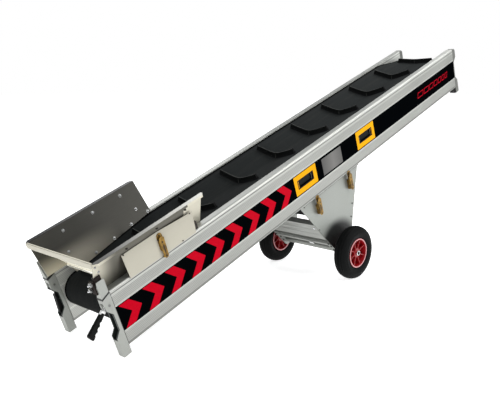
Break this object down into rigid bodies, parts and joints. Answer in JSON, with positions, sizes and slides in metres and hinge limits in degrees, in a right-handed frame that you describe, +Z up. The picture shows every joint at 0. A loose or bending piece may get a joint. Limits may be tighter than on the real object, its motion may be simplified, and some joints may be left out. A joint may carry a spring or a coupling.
{
  "type": "mobile belt conveyor",
  "caption": "Portable inclined belt conveyor with cleated troughed belt, feed hopper, folding lift handles and a wheeled undercarriage.",
  "frame": {"origin": "on the floor, at the middle of the machine's bounding box", "axes": "+X from the feed hopper to the raised discharge end, +Y to the far side, +Z up"},
  "size_m": [2.6586, 0.56, 1.1433],
  "materials": {
    "silver": "anodised, finely ribbed extrusion",
    "plate_silver": "satin sheet",
    "cream": "satin powder coat",
    "hopper_steel": "brushed sheet",
    "belt_rubber": "matte moulded rubber",
    "black_plastic": "matte",
    "panel_vinyl": "satin black strip",
    "black_rubber": "matte",
    "zinc_gold": "yellow zinc plating",
    "chrome": "bright plated",
    "steel": "bare steel",
    "tyre": "matte",
    "rim_red": "satin red"
  },
  "bodies": {
    "frame": {"beam_near": "silver", "beam_far": "silver", "panel_near": "panel_vinyl", "panel_far": "panel_vinyl", "carry_grip_near_tail": "black_plastic", "carry_grip_near_head": "black_plastic", "carry_grip_far_tail": "black_plastic", "carry_grip_far_head": "black_plastic", "leg_near": "silver", "leg_far": "silver", "notch_liner_near": "black_rubber", "notch_liner_far": "black_rubber", "leg_gasket_near": "black_rubber", "leg_gasket_far": "black_rubber", "head_post_near": "silver", "head_post_far": "silver", "head_buffer_near": "black_rubber", "head_buffer_far": "black_rubber", "belt": "belt_rubber", "tail_drum": "steel", "head_drum": "steel", "slider_bed": "steel", "cross_tie_tail": "silver", "cross_tie_middle": "silver", "cross_tie_head": "silver", "return_rail_near": "black_plastic", "return_rail_far": "black_plastic", "hopper_wing_near": "hopper_steel", "hopper_wing_far": "hopper_steel", "hopper_panel_near": "cream", "hopper_panel_far": "cream", "hopper_tail_lip": "cream", "hopper_tail_chute": "hopper_steel", "corner_post_near": "silver", "corner_post_far": "silver", "hopper_clamp": "chrome", "hopper_latch_near": "zinc_gold", "hopper_latch_far": "zinc_gold", "undercarriage_plate_near": "plate_silver", "undercarriage_plate_far": "plate_silver", "undercarriage_latches_near": "zinc_gold", "undercarriage_latches_far": "zinc_gold", "cross_extrusion": "plate_silver", "cross_rail": "plate_silver", "top_cross_block": "black_plastic", "axle": "chrome", "handle_pin_near": "chrome", "handle_pin_far": "chrome"},
    "wheel_near": {"tyre_near": "tyre", "rim_near": "rim_red"},
    "wheel_far": {"tyre_far": "tyre", "rim_far": "rim_red"},
    "lift_handle_near": {"handle_stub_near": "chrome", "handle_grip_near": "black_plastic"},
    "lift_handle_far": {"handle_stub_far": "chrome", "handle_grip_far": "black_plastic"}
  },
  "joints": [
    {"name": "wheel_near_spin", "type": "hinge", "parent": "frame", "child": "wheel_near", "pos_m": [0.1644, -0.244, 0.132], "axis": [0, 1, 0], "continuous": true},
    {"name": "wheel_far_spin", "type": "hinge", "parent": "frame", "child": "wheel_far", "pos_m": [0.1644, 0.244, 0.132], "axis": [0, 1, 0], "continuous": true},
    {"name": "lift_handle_near_fold", "type": "hinge", "parent": "frame", "child": "lift_handle_near", "pos_m": [-1.24683, -0.176, 0.20947], "axis": [0, 1, 0], "range_deg": [-53, 32]},
    {"name": "lift_handle_far_fold", "type": "hinge", "parent": "frame", "child": "lift_handle_far", "pos_m": [-1.24683, 0.176, 0.20947], "axis": [0, 1, 0], "range_deg": [0, 85]}
  ]
}
